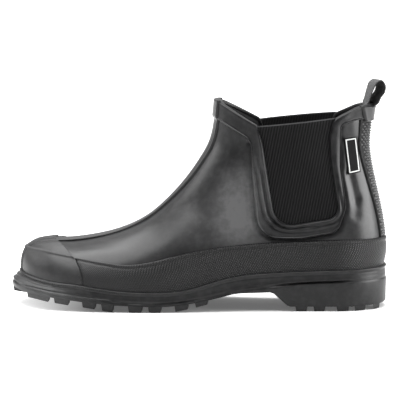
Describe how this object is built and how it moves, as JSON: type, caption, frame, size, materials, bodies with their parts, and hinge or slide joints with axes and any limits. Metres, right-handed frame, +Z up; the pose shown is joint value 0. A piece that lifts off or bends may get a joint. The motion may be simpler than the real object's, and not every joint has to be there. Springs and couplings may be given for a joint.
{
  "type": "rubber ankle boot",
  "caption": "Slip-on rubber ankle boot with elastic side gores, toe cap, foxing band, lugged sole with heel, and a webbing pull loop at the back.",
  "frame": {"origin": "on the ground plane, under the middle of the boot's box", "axes": "toe towards -X, heel towards +X, outer side of the foot towards -Y, +Z up"},
  "size_m": [0.2913, 0.1066, 0.1758],
  "materials": {
    "upper_rubber": "semi-gloss black moulded rubber",
    "foxing_rubber": "satin black rubber with a fine crosshatch",
    "tread_rubber": "matt to satin black moulded rubber",
    "elastic": "matt black ribbed elastic",
    "webbing": "black woven webbing",
    "label_fabric": "black woven label with a thin pale border",
    "insole_fabric": "dark grey textile over foam"
  },
  "bodies": {
    "root": {"outsole": "tread_rubber", "insole": "insole_fabric", "upper": "upper_rubber", "foxing": "foxing_rubber", "toe_cap": "upper_rubber", "front_strip": "upper_rubber", "collar_binding": "upper_rubber", "gore_lateral": "elastic", "gore_medial": "elastic", "heel_strip": "foxing_rubber", "back_tab": "upper_rubber", "side_label": "label_fabric", "pull_loop": "webbing"}
  },
  "joints": []
}
